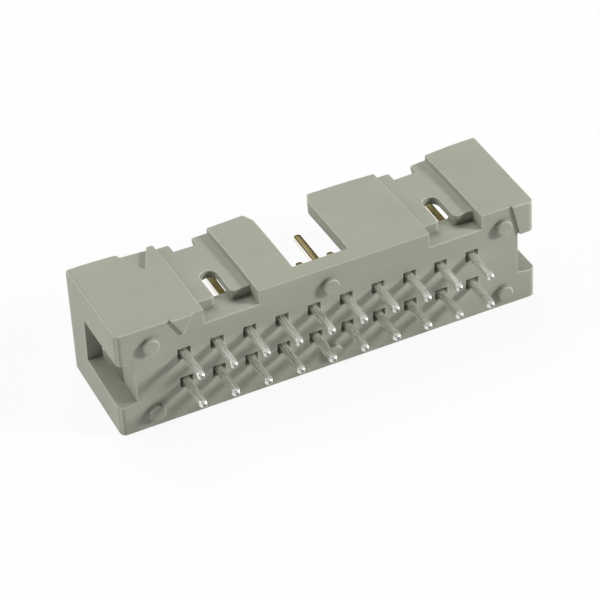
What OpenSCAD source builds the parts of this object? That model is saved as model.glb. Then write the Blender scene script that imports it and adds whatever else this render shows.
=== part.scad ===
// Two-row box header for ribbon cable, with straight solder tails.
// X runs along the housing, +Y out of the mating mouth and +Z through the keyed wall.
// The origin is the centre of the contact grid on the board face, where the standoffs end.

/* [Contact grid] */
// Contacts in each row
columns = 10; // [8:1:25]
// Spacing of the contacts along a row and between the rows
pitch = 2.54; // [2.3:0.01:2.8]
// How far the grid lies from the middle of the housing towards the plain side
grid_drop = 0.1; // [0:0.01:0.15]

/* [Contacts] */
// Width of a square contact
contact_w = 0.6; // [0.5:0.01:0.66]
// Rounding of a contact's long edges
contact_r = 0.12; // [0.05:0.01:0.2]
// Rounding of a contact's tips seen along a row; seen from above they are fully round
tip_r = 0.15; // [0.05:0.01:0.22]
// Length of a solder tail past the board face
tail_l = 2.65; // [1.5:0.05:5]
// Distance from a contact's tip back from the mating edge
blade_inset = 0.5; // [0.3:0.05:2]
// Gap all round a contact in its hole
contact_gap = 0.01; // [0.005:0.005:0.04]

/* [Housing] */
// Distance from the tail face to the mating edge
body_depth = 8.9; // [8.2:0.1:12]
// Height across the two side walls
body_h = 8.9; // [8.5:0.1:11]
// Distance from the last column to the end of the housing
end_reach = 5.07; // [4.7:0.01:7]
// Thickness of the base that holds the contacts
base_t = 2.5; // [2:0.1:3.5]
// Thickness of the long side walls
side_wall = 1.1; // [0.9:0.05:1.4]
// Thickness of the end walls
end_wall = 1.2; // [0.9:0.05:1.8]
// Rounding of the outer edges on the keyed side
edge_r = 0.25; // [0.15:0.05:0.5]
// Rounding of the outer edges on the plain side
plain_edge_r = 0.1; // [0.05:0.01:0.14]
// Rounding of the end edges beside the tail face
corner_r = 0.5; // [0.2:0.05:0.9]
// Radius of the corners inside the cavity
cavity_r = 0.3; // [0.1:0.05:0.6]
// Bevel round the mouth of the cavity
lead_in = 0.35; // [0.1:0.05:0.5]

/* [Tail face] */
// Radius of a standoff
standoff_r = 0.63; // [0.4:0.01:0.9]
// Height of a standoff
standoff_h = 0.45; // [0.2:0.05:0.8]
// Rounding of a standoff's edge
standoff_edge_r = 0.15; // [0.05:0.01:0.18]
// Distance from the middle of the contact grid up to a standoff's centre
standoff_z = 3; // [2.7:0.05:3.3]
// Width of the pocket round a solder tail
pocket_w = 1; // [0.85:0.01:1.3]
// Height of the pocket round a solder tail
pocket_h = 0.88; // [0.85:0.01:1.3]
// Depth of the pocket round a solder tail
pocket_depth = 0.6; // [0.3:0.05:1.2]

/* [Polarising slot] */
// Width of the slot
key_w = 4.35; // [3.8:0.05:4.8]
// Distance from the tail face to the bottom of the slot
key_floor = 1.35; // [0.8:0.05:1.8]
// Width of the bevel at each side of the slot's mouth
key_bevel_w = 0.4; // [0.1:0.05:0.8]
// Length of the bevel at each side of the slot's mouth
key_bevel_l = 1; // [0.3:0.1:2]

/* [Retainer recesses] */
// Columns to the left of the left recess
left_recess_columns = 2; // [2:1:2]
// Columns to the right of the right recess
right_recess_columns = 1; // [1:1:2]
// Width of a recess
recess_w = 4.2; // [3.6:0.1:4.6]
// Depth of a recess in the keyed wall
recess_depth = 0.42; // [0.2:0.02:0.6]
// Length of the low ledge at a recess's tail end
ledge_l = 1.4; // [0.8:0.05:1.8]
// How far the ledge and the slot's bottom lie below the inner side of the wall
ledge_drop = 0.15; // [0.05:0.01:0.4]
// Width of the notch in the mating edge of a recess
notch_w = 1.78; // [1.2:0.02:2.4]
// Depth of the notch in the mating edge of a recess
notch_depth = 0.95; // [0.4:0.05:1.6]
// Width of the window through the wall
window_w = 1.25; // [0.8:0.05:1.6]
// Distance from the tail face to the window's round end
window_end = 4.45; // [3.6:0.05:5.5]
// Radius of the corners where the window meets the ledge
window_mouth_r = 0.3; // [0.1:0.05:0.5]

/* [End windows] */
// Height of the window in each end wall
end_window_h = 3.5; // [2.5:0.1:4.5]
// Distance from the tail face to the far end of the window
end_window_end = 6.1; // [4.5:0.1:6.8]
// How far an end window reaches into the base past the end wall
end_window_bite = 0.05; // [0.02:0.01:0.15]

/* [Marks] */
// Width of the sunk mark at the mating edge, over the first column
edge_mark_w = 2.4; // [1.5:0.1:2.8]
// Length of the sunk mark from the mating edge
edge_mark_l = 2.6; // [1.5:0.1:3.5]
// Depth of the sunk mark
edge_mark_depth = 0.3; // [0.1:0.05:0.5]
// Width of the raised mark on the tail face, over the first column
tail_mark_w = 1.75; // [1:0.05:2.4]
// Height of the raised mark on the tail face
tail_mark_h = 1.5; // [0.8:0.05:1.8]
// How far the marks on the tail face stand up from it
tail_mark_t = 0.2; // [0.1:0.02:0.3]
// Width of the raised pad at the right end of the tail face, along the keyed wall
end_pad_w = 1.8; // [1.4:0.1:2.4]

/* [Hidden] */
rows = 2;
eps = 1;
first_column = -(columns - 1) / 2 * pitch;
row_z = [pitch / 2, -pitch / 2];
half_l = end_reach - first_column;
half_h = body_h / 2;
tail_y = standoff_h;
mate_y = tail_y + body_depth;
floor_y = tail_y + base_t;
cavity_x = half_l - end_wall;
cavity_z = half_h - side_wall;
ledge_z = cavity_z - ledge_drop;
recess_x = [
    first_column + (left_recess_columns - 0.5) * pitch,
    -first_column - (right_recess_columns - 0.5) * pitch
];
standoff_x = [first_column - pitch, 0, -first_column + pitch];
hole_w = contact_w + 2 * contact_gap;
$fn = 48;

function contact_name(n) = str("contact_", n < 10 ? "0" : "", n);

// Odd contacts are in the row beside the keyed wall, even ones in the other
function contact_x(n) = first_column + floor((n - 1) / rows) * pitch;
function contact_z(n) = row_z[(n - 1) % rows];

// Extrude a flat outline along one axis; its own axes are the other two, in X, Y, Z order
module along_x(x0, x1) translate([x0, 0, 0]) rotate([90, 0, 90]) linear_extrude(x1 - x0) children();
module along_y(y0, y1) translate([0, y1, 0]) rotate([90, 0, 0]) linear_extrude(y1 - y0) children();
module along_z(z0, z1) translate([0, 0, z0]) linear_extrude(z1 - z0) children();

// A rectangle from one corner to the other
module rect(low, high) translate(low) square(high - low);

// The same with its corners rounded
module rounded_rect(low, high, r) {
    rect(low + [r, 0], high - [r, 0]);
    rect(low + [0, r], high - [0, r]);
    for (x = [low.x + r, high.x - r], y = [low.y + r, high.y - r]) translate([x, y]) circle(r);
}

// An outline with Z as its second axis: its corners are sharper on the plain side
module wall_outline(low, high) {
    rounded_rect(low, high, edge_r);
    rounded_rect(low, [high.x, (low.y + high.y) / 2], plain_edge_r);
}

// The outer block: long edges, end edges and the rim of the tail face are rounded
module block() {
    middle_y = (tail_y + mate_y) / 2;
    intersection() {
        along_y(tail_y, mate_y) wall_outline([-half_l, -half_h], [half_l, half_h]);
        along_z(-half_h, half_h) {
            rounded_rect([-half_l, tail_y], [half_l, mate_y], corner_r);
            rect([-half_l, middle_y], [half_l, mate_y]);
        }
        along_x(-half_l, half_l) {
            wall_outline([tail_y, -half_h], [mate_y, half_h]);
            rect([middle_y, -half_h], [mate_y, half_h]);
        }
    }
}

// The space that the socket goes into, with a bevelled mouth
module cavity() {
    mouth_x = cavity_x + lead_in;
    mouth_z = cavity_z + lead_in;
    bevel_y = mate_y - lead_in;
    along_y(floor_y, mate_y + eps) rounded_rect([-cavity_x, -cavity_z], [cavity_x, cavity_z], cavity_r);
    intersection() {
        along_z(-mouth_z, mouth_z)
            polygon([[-cavity_x, bevel_y], [cavity_x, bevel_y], [mouth_x, mate_y], [mouth_x, mate_y + eps],
                [-mouth_x, mate_y + eps], [-mouth_x, mate_y]]);
        along_x(-mouth_x, mouth_x)
            polygon([[bevel_y, -cavity_z], [mate_y, -mouth_z], [mate_y + eps, -mouth_z],
                [mate_y + eps, mouth_z], [mate_y, mouth_z], [bevel_y, cavity_z]]);
    }
}

// The polarising slot in the middle of the keyed wall
module key_slot() {
    half_w = key_w / 2;
    bevel_x = half_w + key_bevel_w;
    along_z(ledge_z, half_h + eps)
        polygon([[-half_w, tail_y + key_floor], [half_w, tail_y + key_floor], [half_w, mate_y - key_bevel_l],
            [bevel_x, mate_y], [bevel_x, mate_y + eps], [-bevel_x, mate_y + eps], [-bevel_x, mate_y],
            [-half_w, mate_y - key_bevel_l]]);
}

// The window in a recess: round at one end, flared where it opens onto the ledge
module window_outline() {
    half_w = window_w / 2;
    ledge_y = tail_y + ledge_l;
    round_y = tail_y + window_end - half_w;
    rect([-half_w, tail_y], [half_w, round_y]);
    translate([0, round_y]) circle(half_w);
    difference() {
        rect([-half_w - window_mouth_r, tail_y], [half_w + window_mouth_r, ledge_y + window_mouth_r]);
        for (side = [-1, 1])
            translate([side * (half_w + window_mouth_r), ledge_y + window_mouth_r]) circle(window_mouth_r);
    }
}

// One retainer recess: a shallow channel with a notch, a window and a low ledge
module recess() {
    half_w = recess_w / 2;
    along_z(half_h - recess_depth, half_h + eps) rect([-half_w, tail_y - eps], [half_w, mate_y + eps]);
    along_z(ledge_z, half_h + eps) rect([-half_w, tail_y - eps], [half_w, tail_y + ledge_l]);
    along_z(ledge_z, half_h) window_outline();
    along_z(ledge_z, half_h) rect([-notch_w / 2, mate_y - notch_depth], [notch_w / 2, mate_y + eps]);
}

// The window in an end wall, open at the tail face
module end_window() {
    along_x(cavity_x - end_window_bite, half_l + eps)
        rect([tail_y - eps, -end_window_h / 2], [tail_y + end_window_end, end_window_h / 2]);
}

// The hole for one contact, with its pocket in the tail face
module contact_hole() {
    along_y(tail_y, floor_y + eps) rect([-hole_w / 2, -hole_w / 2], [hole_w / 2, hole_w / 2]);
    along_y(tail_y - eps, tail_y + pocket_depth)
        rect([-pocket_w / 2, -pocket_h / 2], [pocket_w / 2, pocket_h / 2]);
}

// The sunk triangle at the mating edge, pointing away from it
module edge_mark() {
    along_z(half_h - edge_mark_depth, half_h + eps)
        translate([first_column, mate_y])
            polygon([[-edge_mark_w / 2, eps], [-edge_mark_w / 2, 0], [0, -edge_mark_l],
                [edge_mark_w / 2, 0], [edge_mark_w / 2, eps]]);
}

// The raised triangle on the tail face, pointing away from the keyed wall
module tail_mark() {
    along_y(tail_y - tail_mark_t, tail_y + edge_r)
        translate([first_column, half_h])
            polygon([[-tail_mark_w / 2, 0], [0, -tail_mark_h], [tail_mark_w / 2, 0]]);
}

// The raised pad beside the right end window, with a slanted side
module end_pad() {
    intersection() {
        translate([0, -tail_mark_t, 0]) block();
        along_y(tail_y - tail_mark_t, tail_y + corner_r)
            polygon([[half_l - end_pad_w, half_h], [cavity_x, end_window_h / 2], [half_l, end_window_h / 2],
                [half_l, half_h]]);
    }
}

// A standoff ends at y = 0, with its edge rounded
module standoff() {
    rotate([-90, 0, 0])
        rotate_extrude() {
            rect([0, 0], [standoff_r - standoff_edge_r, tail_y + edge_r]);
            rect([0, standoff_edge_r], [standoff_r, tail_y + edge_r]);
            translate([standoff_r - standoff_edge_r, standoff_edge_r]) circle(standoff_edge_r);
        }
}

// The block with its marks, about the middle of the housing
module solid_body() {
    block();
    tail_mark();
    end_pad();
}

// Everything cut from the block apart from the contacts' holes
module body_cuts() {
    cavity();
    key_slot();
    for (x = recess_x) translate([x, 0, 0]) recess();
    for (side = [0, 1]) mirror([side, 0, 0]) end_window();
    edge_mark();
}

module housing() {
    color([0.63, 0.64, 0.58])
    difference() {
        union() {
            translate([0, 0, grid_drop]) solid_body();
            for (x = standoff_x, side = [-1, 1]) translate([x, 0, side * standoff_z]) standoff();
        }
        translate([0, 0, grid_drop]) body_cuts();
        for (n = [1:rows * columns]) translate([contact_x(n), 0, contact_z(n)]) contact_hole();
    }
}

// A contact's outline seen from above: a bar with round ends
module contact_plan(half_w, last_y) {
    first_y = -tail_l + half_w;
    rect([-half_w, first_y], [half_w, last_y - half_w]);
    for (y = [first_y, last_y - half_w]) translate([0, y]) circle(half_w);
}

// The views of a contact from above and along a row, intersected with its rounded section
module contact(n) {
    half_w = contact_w / 2;
    last_y = mate_y - blade_inset;
    color([0.78, 0.66, 0.36])
    translate([contact_x(n), 0, contact_z(n)])
        intersection() {
            along_z(-half_w, half_w) contact_plan(half_w, last_y);
            along_x(-half_w, half_w) rounded_rect([-tail_l, -half_w], [last_y, half_w], tip_r);
            along_y(-tail_l, mate_y) rounded_rect([-half_w, -half_w], [half_w, half_w], contact_r);
        }
}

housing();
for (n = [1:rows * columns])
    contact(n);
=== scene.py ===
"""A box header for ribbon cable: its finish, the floor, the light and the camera.

Lengths are in metres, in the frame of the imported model: +X along the housing, +Y out of the
mating mouth, +Z through the keyed wall. The header lies on its plain side wall.
"""

import math

import bmesh
import bpy
from mathutils import Matrix, Vector


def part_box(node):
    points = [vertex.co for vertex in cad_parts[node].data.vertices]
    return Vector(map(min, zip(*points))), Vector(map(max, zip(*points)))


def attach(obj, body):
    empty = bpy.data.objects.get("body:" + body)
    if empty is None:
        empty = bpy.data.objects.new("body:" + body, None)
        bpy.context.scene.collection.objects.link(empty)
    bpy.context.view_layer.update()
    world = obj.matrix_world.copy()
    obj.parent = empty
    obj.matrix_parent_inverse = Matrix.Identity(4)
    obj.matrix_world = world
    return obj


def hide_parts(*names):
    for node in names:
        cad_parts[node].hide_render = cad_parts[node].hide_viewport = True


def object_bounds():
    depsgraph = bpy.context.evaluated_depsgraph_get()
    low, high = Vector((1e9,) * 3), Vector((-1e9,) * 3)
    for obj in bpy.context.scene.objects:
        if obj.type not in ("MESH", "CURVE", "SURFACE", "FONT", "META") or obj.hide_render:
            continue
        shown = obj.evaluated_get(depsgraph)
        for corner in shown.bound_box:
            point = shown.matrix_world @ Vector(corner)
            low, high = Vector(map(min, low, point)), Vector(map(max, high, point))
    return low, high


MM = 0.001

# The view: where the camera looks, from which side and how far away it stands, and how many
# times nearer and further than that it sees
TARGET = Vector((-2.354, 0.45, 2.5075)) * MM
AZIMUTH = math.radians(-23.606)
ELEVATION = math.radians(38.205)
ROLL = math.radians(-3.527)
DISTANCE = 222.53 * MM
CLIP = 100
LENS_MM = 188.57
SENSOR_MM = 36.0

# The keyed wall, above WALL_BOTTOM and beyond BASE_TOP, has sagged. The end walls hold it up to
# HELD from each end. Its free edge is lower by SAG from SAG_RISE further in, and by DIP more at
# its two thin recesses, and the sag grows as SAG_POWER of the way out to that edge. The wall is
# cut into strips, so that it can bend.
WALL_BOTTOM = 2.9 * MM
BASE_TOP = 2.95 * MM
HELD = 1.0 * MM
SAG = 0.22 * MM
SAG_RISE = 6 * MM
SAG_POWER = 1.5
DIP = 0.15 * MM
DIP_PLACES = (-7 * MM, 9.4 * MM)
DIP_WIDTH = 3 * MM
STRIP = 1.0 * MM

# The outsides of the end walls, past SPLAY_START, spread by SPLAY at the tail face, in full at
# LEDGE, the level of the end windows' ledges, and not above SPLAY_TOP. The ledges drop as much.
SPLAY = 0.2 * MM
SPLAY_START = 15.4 * MM
SPLAY_TOP = 1.8 * MM
LEDGE = -1.6 * MM

# The moulding's mesh: points nearer than WELD become one, and so do faces that turn by less than
# FLAT. Edges that turn by more than SHARP are softened, and shading blends across up to SMOOTH.
WELD = 0.0001 * MM
FLAT = math.radians(0.5)
SHARP = math.radians(25)
SMOOTH = math.radians(50)
EDGE = 0.08 * MM
EDGE_STEPS = 2
ROUND_PROFILE = 0.5

# The crest of a round edge is painted paler, as a painted highlight: faces narrower than NARROW,
# with no part of their normal above CREST. They and the softened edges take the housing's second
# material, which paints that highlight.
NARROW = 0.08 * MM
CREST = 0.87
PAINTED_HIGHLIGHT = 1

# A contact's section is a superellipse of the power CROWN, with this many sides, and turns to a
# circle at the tips. These are domes of this length, made of this many rings.
CROWN = 4
CIRCLE = 2
SIDES = 40
TIP = 0.42 * MM
TIP_RINGS = 8

# Colours, as linear values
GREY = (0.375, 0.385, 0.315)
# The paler grey is a painted highlight on the round edges of the housing.
PAINTED_HIGHLIGHT_GREY = (0.50, 0.51, 0.425)
GOLD = (0.82, 0.68, 0.34)
# A painted reflection: the blades' sides are painted this pale tone for the white floor they mirror.
PAINTED_SIDE_REFLECTION = (0.96, 0.90, 0.82)
TIN = (0.92, 0.91, 0.85)
SHEARED = (0.32, 0.31, 0.30)
PAPER = (0.9, 0.9, 0.9, 1)
WHITE = (1, 1, 1, 1)

# Nearly all of a noise's values lie in this range
NOISE_RANGE = (0.3, 0.7)

# The plastic: its specular level and roughness, the flow clouds, the grain and the pores
PLASTIC_GLOSS = 0.25
PLASTIC_ROUGHNESS = (0.48, 0.6)
PATCH_SIZE = 0.6 * MM
CLOUD_SIZE = 2.5 * MM
CLOUD_STRETCH = (2, 1, 1)
CLOUD_TONES = (0.97, 1.03)
GRAIN_SIZE = 0.09 * MM
GRAIN_TONES = (0.98, 1.02)
PORE_SIZE = 0.07 * MM
PORE_DEPTH = 0.004 * MM

# The fine lines that drawing leaves along the contacts
LINE_SIZE = 0.06 * MM
LINE_STRETCH = (1, 40, 1)
LINE_TONES = (0.72, 1.12)
LINE_DEPTH = 0.005 * MM

# Where along the contacts the tin and the gold start, and how far to each side they blend. The
# gold covers only faces whose normals lean this much along Z; the blades' sides take a pale painted
# reflection of the white floor instead.
TIN_START = -2.6 * MM
GOLD_START = 1.4 * MM
CHANGE = 0.03 * MM
GOLD_LEAN = 0.45
LEAN_CHANGE = 0.1

# The gold's roughness, what the tin and the sheared tips add to it, and how metallic the tin is
GOLD_ROUGHNESS = (0.1, 0.22)
TIN_DULLNESS = 0.12
SHEARED_DULLNESS = 0.4
TIN_METALLIC = 0.8

# The floor: its size, its roughness and how much of the paper glows
FLOOR_SIZE = 4
PAPER_ROUGHNESS = 0.9
PAPER_GLOW = 0.9

# What reflections meet above the floor, as heights and tones: the paper's white fades into a
# dark room with a pale ceiling
ROOM = ((0.0, 1.0), (0.03, 0.01), (0.5, 0.01), (0.6, 0.5), (1.0, 0.6))

# The light: the fill, and each softbox's name, azimuth and elevation in degrees, width, watts
# and whether metal mirrors it
FILL = 0.02
LAMP_DISTANCE = 0.6
LAMPS = (
    ("key", 57, 26, 0.14, 2.95, True),
    ("left", -110, 15, 0.5, 1.4, True),
    ("left_top", -110, 45, 0.5, 0.7, False),
    ("back", 180, 30, 0.5, 0.6, False),
    ("back_top", 180, 60, 0.5, 1.75, False),
)


def direction(azimuth, elevation):
    """The unit vector from the object towards a place seen at these angles."""
    return Vector(
        (
            math.sin(azimuth) * math.cos(elevation),
            -math.cos(azimuth) * math.cos(elevation),
            math.sin(elevation),
        )
    )


def add_camera():
    data = bpy.data.cameras.new("camera")
    data.sensor_width = SENSOR_MM
    data.lens = LENS_MM
    data.clip_start = DISTANCE / CLIP
    data.clip_end = DISTANCE * CLIP
    camera = bpy.data.objects.new("camera", data)
    bpy.context.scene.collection.objects.link(camera)
    back = direction(AZIMUTH, ELEVATION)
    right = Vector((0, 0, 1)).cross(back).normalized()
    up = back.cross(right)
    turned_right = math.cos(ROLL) * right + math.sin(ROLL) * up
    turned_up = -math.sin(ROLL) * right + math.cos(ROLL) * up
    turn = Matrix((turned_right, turned_up, back)).transposed().to_4x4()
    camera.matrix_world = Matrix.Translation(TARGET + back * DISTANCE) @ turn
    bpy.context.scene.camera = camera


# Pieces


def add_piece(name, mesh, node):
    """A piece of the scene that stands for a CAD node and takes its finish from a slot."""
    piece = bpy.data.objects.new(name, mesh)
    bpy.context.scene.collection.objects.link(piece)
    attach(piece, "root")
    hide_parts(node)


def add_housing(solid):
    """The moulding, softened, in the place of its solid."""
    low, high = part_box("housing")
    mesh = softened(solid.data, low, high)
    mesh.materials.append(plastic("pebble_grey_plastic", GREY))
    # The second material paints a highlight on the crests of round edges and on the softened edges.
    mesh.materials.append(plastic("plastic_painted_edge_highlight", PAINTED_HIGHLIGHT_GREY))
    add_piece("moulded_housing", mesh, "housing")


def softened(mesh, low, high):
    """The moulding as one closed mesh: flat faces whole, edges softened and painted paler as a
    highlight, and its walls warped.
    """
    bm = bmesh.new()
    bm.from_mesh(mesh)
    bmesh.ops.remove_doubles(bm, verts=bm.verts, dist=WELD)
    bmesh.ops.dissolve_limit(bm, angle_limit=FLAT, verts=bm.verts, edges=bm.edges)
    # The crests of round edges, and the faces that the bevel makes, take the paler material: a
    # painted highlight.
    for face in bm.faces:
        if is_crest(face):
            face.material_index = PAINTED_HIGHLIGHT
    sharp = [e for e in bm.edges if e.is_manifold and e.is_convex and e.calc_face_angle() > SHARP]
    bmesh.ops.bevel(
        bm,
        geom=sharp,
        offset=EDGE,
        segments=EDGE_STEPS,
        profile=ROUND_PROFILE,
        affect="EDGES",
        material=PAINTED_HIGHLIGHT,
    )
    look = bpy.data.meshes.new("housing_look")
    bm.to_mesh(look)
    # Read back like this, the mesh is cut in the same order in every run
    bm.clear()
    bm.from_mesh(look)
    cut_strips(bm, low, high)
    for v in bm.verts:
        lower_wall(v, high)
        spread_end(v, low, high)
    bm.to_mesh(look)
    bm.free()
    blend_normals(look)
    return look


def is_crest(face):
    """Whether a face lies on the crest of a round edge: narrow, and aslant to every axis."""
    narrow = face.calc_area() < NARROW * max(edge.calc_length() for edge in face.edges)
    return narrow and max(abs(part) for part in face.normal) < CREST


def cut_strips(bm, low, high):
    """Cut the keyed wall into strips across X and across Y."""
    for axis, first, last in ((0, low.x, high.x), (1, BASE_TOP, high.y)):
        count = int((last - first) / STRIP)
        for i in range(1, count):
            place, normal = Vector(), Vector()
            place[axis] = first + (last - first) * i / count
            normal[axis] = 1
            wall = [f for f in bm.faces if f.calc_center_median().z > WALL_BOTTOM]
            parts = dict.fromkeys(part for f in wall for part in (*f.verts, *f.edges, f))
            bmesh.ops.bisect_plane(bm, geom=list(parts), plane_co=place, plane_no=normal)


def lower_wall(v, high):
    """Lower a point of the keyed wall, most of all at the free edge."""
    if v.co.z > WALL_BOTTOM and v.co.y > BASE_TOP:
        out = (v.co.y - BASE_TOP) / (high.y - BASE_TOP)
        v.co.z -= sag_depth(v.co.x, high.x - HELD) * out**SAG_POWER


def sag_depth(x, reach):
    """How far the wall's free edge hangs at x, where it is held at both ends of its reach."""
    between = SAG * smooth_step((reach - abs(x)) / SAG_RISE)
    return between + sum(DIP * math.exp(-(((x - place) / DIP_WIDTH) ** 2)) for place in DIP_PLACES)


def spread_end(v, low, high):
    """Move a point of an end wall outwards, and its ledge down, most of all at the tail face."""
    if abs(v.co.x) > SPLAY_START:
        down = smooth_step((SPLAY_TOP - v.co.z) / (SPLAY_TOP - LEDGE))
        back = (high.y - v.co.y) / (high.y - low.y)
        v.co.x += math.copysign(SPLAY * down * back, v.co.x)
        if v.co.z < LEDGE:
            v.co.z -= SPLAY * back * (v.co.z - low.z) / (LEDGE - low.z)


def smooth_step(t):
    """0 up to 0 and 1 from 1 on, with a smooth rise between."""
    t = min(max(t, 0), 1)
    return t * t * (3 - 2 * t)


def blend_normals(mesh):
    """Shade the narrow faces of each round edge into their neighbours, and leave wide faces flat."""
    around = [[] for _ in mesh.vertices]
    for face in mesh.polygons:
        for vertex in face.vertices:
            around[vertex].append(face)
    normals = []
    for face in mesh.polygons:
        for vertex in face.vertices:
            total = Vector()
            for other in around[vertex]:
                if face.normal.dot(other.normal) > math.cos(SMOOTH):
                    total += other.normal * other.area**2
            normals.append(total.normalized())
    mesh.normals_split_custom_set(normals)


def add_contact(name, finish):
    low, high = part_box(name)
    mesh = contact_mesh(name + "_look", low, high)
    mesh.materials.append(finish)
    add_piece("plated_" + name, mesh, name)


def contact_mesh(name, low, high):
    """A contact with gently crowned faces and domed tips, between these corners."""
    middle = (low + high) / 2
    half = (high.x - low.x) / 2
    angles = [(i + 0.5) / TIP_RINGS * math.pi / 2 for i in range(TIP_RINGS)]
    tip = [(TIP * (1 - math.cos(a)), math.sin(a)) for a in angles] + [(TIP, 1)]
    rings = [(low.y + back, width) for back, width in tip]
    rings += [(high.y - back, width) for back, width in reversed(tip)]
    bm = bmesh.new()
    loops = [section(bm, Vector((middle.x, y, middle.z)), half, width) for y, width in rings]
    for one, two in zip(loops, loops[1:]):
        for i in range(SIDES):
            j = (i + 1) % SIDES
            bm.faces.new((one[i], one[j], two[j], two[i]))
    bm.faces.new(loops[0])
    bm.faces.new(reversed(loops[-1]))
    bmesh.ops.recalc_face_normals(bm, faces=bm.faces)
    for face in bm.faces:
        face.smooth = True
    mesh = bpy.data.meshes.new(name)
    bm.to_mesh(mesh)
    bm.free()
    return mesh


def section(bm, middle, half, width):
    """One ring of a contact: square with crowned sides, and rounder as it narrows to the tip."""
    power = CIRCLE + (CROWN - CIRCLE) * width**2
    ring = []
    for i in range(SIDES):
        angle = 2 * math.pi * i / SIDES
        cosine, sine = math.cos(angle), math.sin(angle)
        reach = half * width / (abs(cosine) ** power + abs(sine) ** power) ** (1 / power)
        ring.append(bm.verts.new(middle + Vector((cosine, 0, sine)) * reach))
    return ring


# Nodes


def new_material(name):
    """A material that has only a shader: the material, its tree and the shader."""
    material = bpy.data.materials.new(name)
    material.use_nodes = True
    tree = material.node_tree
    tree.nodes.clear()
    output = tree.nodes.new("ShaderNodeOutputMaterial")
    shader = tree.nodes.new("ShaderNodeBsdfPrincipled")
    tree.links.new(shader.outputs["BSDF"], output.inputs["Surface"])
    return material, tree, shader


def add_node(tree, kind, inputs=None, **settings):
    """A new node of this kind, with these settings and inputs."""
    node = tree.nodes.new("ShaderNode" + kind)
    for name, value in settings.items():
        setattr(node, name, value)
    feed(tree, node, inputs or {})
    return node


def feed(tree, node, inputs):
    """Link each input, by its name or number, to another node's output, or set it to a value."""
    for key, value in inputs.items():
        if isinstance(value, bpy.types.NodeSocket):
            tree.links.new(value, node.inputs[key])
        else:
            node.inputs[key].default_value = value


def calculated(tree, operation, *values):
    """What a Math node makes of these values."""
    return add_node(tree, "Math", dict(enumerate(values)), operation=operation).outputs["Value"]


def mixed(tree, share, one, two):
    """A shader that goes from one to two as share goes from 0 to 1."""
    return add_node(tree, "MixShader", {0: share, 1: one, 2: two}).outputs["Shader"]


def component(tree, space, axis):
    """One part of a texture coordinate."""
    place = add_node(tree, "TexCoord").outputs[space]
    return add_node(tree, "SeparateXYZ", {"Vector": place}).outputs[axis]


def remapped(tree, value, start, end, before, after):
    """A value that goes from before to after, as value goes from start to end."""
    inputs = {"Value": value, "From Min": start, "From Max": end, "To Min": before, "To Max": after}
    return add_node(tree, "MapRange", inputs).outputs["Result"]


def change(tree, value, start, before, after, width=CHANGE):
    """A value that changes from before to after where value passes start."""
    return remapped(tree, value, start - width, start + width, before, after)


def noise(tree, size, stretch=(1, 1, 1)):
    """Noise in the object's own space, with grains about size across, stretched along each axis."""
    place = add_node(tree, "TexCoord").outputs["Object"]
    scale = [1 / (size * s) for s in stretch]
    scaled = add_node(tree, "Mapping", {"Vector": place, "Scale": scale}).outputs["Vector"]
    return add_node(tree, "TexNoise", {"Vector": scaled, "Scale": 1}).outputs["Fac"]


def spread(tree, value, low, high):
    """Noise stretched over the range from low to high."""
    return remapped(tree, value, *NOISE_RANGE, low, high)


def bump(tree, height, distance):
    return add_node(tree, "Bump", {"Height": height, "Distance": distance}).outputs["Normal"]


def tinted(tree, colour, factor):
    """colour, made lighter or darker by factor."""
    inputs = {0: colour, "Scale": factor}
    return add_node(tree, "VectorMath", inputs, operation="SCALE").outputs["Vector"]


# Materials


def plastic(name, colour):
    """Matte moulded plastic with a fine grain and faint flow clouds."""
    material, tree, shader = new_material(name)
    clouds = spread(tree, noise(tree, CLOUD_SIZE, CLOUD_STRETCH), *CLOUD_TONES)
    grain = spread(tree, noise(tree, GRAIN_SIZE), *GRAIN_TONES)
    surface = {
        "Base Color": tinted(tree, colour, calculated(tree, "MULTIPLY", clouds, grain)),
        "Roughness": spread(tree, noise(tree, PATCH_SIZE), *PLASTIC_ROUGHNESS),
        "Specular IOR Level": PLASTIC_GLOSS,
        "Normal": bump(tree, noise(tree, PORE_SIZE), PORE_DEPTH),
    }
    feed(tree, shader, surface)
    return material


def metal():
    """Gold on the mating blades and matte tin on the tails, drawn lengthwise."""
    material, tree, shader = new_material("contact_metal")
    y = component(tree, "Object", "Y")
    lines = noise(tree, LINE_SIZE, LINE_STRETCH)
    surface = {
        "Base Color": metal_colour(tree, y, lines),
        "Metallic": change(tree, y, GOLD_START, TIN_METALLIC, 1),
        "Roughness": metal_roughness(tree, y, lines),
        "Normal": bump(tree, lines, LINE_DEPTH),
    }
    feed(tree, shader, surface)
    return material


def metal_colour(tree, y, lines):
    """Dull at the sheared tips, then tin, then gold above and below, and a painted reflection on the
    blades' sides.
    """
    shade = spread(tree, lines, *LINE_TONES)
    tail, blade = (change(tree, y, start, 0, 1) for start in (TIN_START, GOLD_START))
    # Gold on faces that lean along Z; the blades' other faces get the pale painted reflection
    # instead.
    lean = calculated(tree, "ABSOLUTE", component(tree, "Normal", "Z"))
    level = change(tree, lean, GOLD_LEAN, 0, 1, LEAN_CHANGE)
    plated = calculated(tree, "MULTIPLY", blade, level)
    colour = tinted(tree, SHEARED, shade)
    for tone, share in ((TIN, tail), (PAINTED_SIDE_REFLECTION, blade), (GOLD, plated)):
        inputs = {"Factor": share, "A": colour, "B": tinted(tree, tone, shade)}
        colour = add_node(tree, "Mix", inputs, data_type="RGBA").outputs["Result"]
    return colour


def metal_roughness(tree, y, lines):
    """Smooth on the gold, duller on the tin and dullest at the sheared tips."""
    roughness = spread(tree, lines, *GOLD_ROUGHNESS)
    for start, extra in ((GOLD_START, TIN_DULLNESS), (TIN_START, SHEARED_DULLNESS)):
        roughness = calculated(tree, "ADD", roughness, change(tree, y, start, extra, 0))
    return roughness


# The studio


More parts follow.
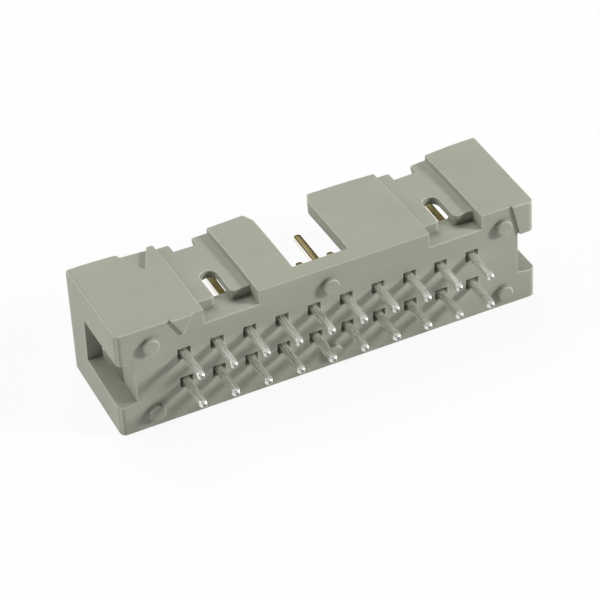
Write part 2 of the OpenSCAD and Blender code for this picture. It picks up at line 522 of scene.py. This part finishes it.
def seen_directly(tree):
    """1 for rays that meet the white background: from the camera, a reflection or through glass."""
    path = add_node(tree, "LightPath")
    total = path.outputs["Is Camera Ray"]
    for name in ("Is Glossy Ray", "Is Transmission Ray"):
        total = calculated(tree, "MAXIMUM", total, path.outputs[name])
    return total


def add_floor(height):
    """White paper that keeps a faint shadow of the header."""
    bpy.ops.mesh.primitive_plane_add(size=FLOOR_SIZE, location=(0, 0, height))
    floor = bpy.context.object
    floor.name = "floor"
    material, tree, shader = new_material("paper")
    feed(tree, shader, {"Base Color": PAPER, "Roughness": PAPER_ROUGHNESS})
    glow = add_node(tree, "Emission").outputs["Emission"]
    share = calculated(tree, "MULTIPLY", seen_directly(tree), PAPER_GLOW)
    paper = mixed(tree, share, shader.outputs["BSDF"], glow)
    tree.links.new(paper, tree.nodes["Material Output"].inputs["Surface"])
    floor.data.materials.append(material)


def add_world():
    """A plain fill. The camera sees it white, and reflections meet the white horizon and the room."""
    world = bpy.data.worlds.new("studio")
    world.use_nodes = True
    tree = world.node_tree
    fill = tree.nodes["Background"]
    feed(tree, fill, {"Color": WHITE, "Strength": FILL})
    white = add_node(tree, "Background", {"Color": WHITE}).outputs["Background"]
    room = add_node(tree, "Background", {"Color": room_tone(tree)}).outputs["Background"]
    glossy = add_node(tree, "LightPath").outputs["Is Glossy Ray"]
    seen = mixed(tree, glossy, white, room)
    surface = mixed(tree, seen_directly(tree), fill.outputs["Background"], seen)
    tree.links.new(surface, tree.nodes["World Output"].inputs["Surface"])
    bpy.context.scene.world = world


def room_tone(tree):
    """The grey of the room in each direction, by the height of that direction."""
    ramp = add_node(tree, "ValToRGB", {"Fac": component(tree, "Generated", "Z")})
    stops = ramp.color_ramp.elements
    while len(stops) < len(ROOM):
        stops.new(1)
    for stop, (height, tone) in zip(stops, ROOM):
        stop.position = height
        stop.color = (tone, tone, tone, 1)
    return ramp.outputs["Color"]


def add_lamp(name, azimuth, elevation, width, watts, mirrored):
    """A round softbox at LAMP_DISTANCE, seen from the header at these angles in degrees."""
    data = bpy.data.lights.new(name, "AREA")
    data.shape = "DISK"
    data.size = width
    data.energy = watts
    lamp = bpy.data.objects.new(name, data)
    bpy.context.scene.collection.objects.link(lamp)
    back = direction(math.radians(azimuth), math.radians(elevation))
    lamp.visible_glossy = mirrored
    lamp.location = back * LAMP_DISTANCE
    lamp.rotation_euler = (-back).to_track_quat("-Z", "Y").to_euler()


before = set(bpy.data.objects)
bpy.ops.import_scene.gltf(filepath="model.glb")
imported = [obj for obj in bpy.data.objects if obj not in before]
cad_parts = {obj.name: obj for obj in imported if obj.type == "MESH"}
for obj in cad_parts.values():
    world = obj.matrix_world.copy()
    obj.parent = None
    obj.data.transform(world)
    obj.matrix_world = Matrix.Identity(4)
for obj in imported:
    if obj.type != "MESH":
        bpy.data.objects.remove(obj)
cad_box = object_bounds()
add_camera()
add_housing(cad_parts["housing"])
plating = metal()
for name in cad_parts:
    if name.startswith("contact_"):
        add_contact(name, plating)
add_floor(cad_box[0].z)
add_world()
for lamp in LAMPS:
    add_lamp(*lamp)
bpy.context.scene.view_settings.view_transform = "Standard"
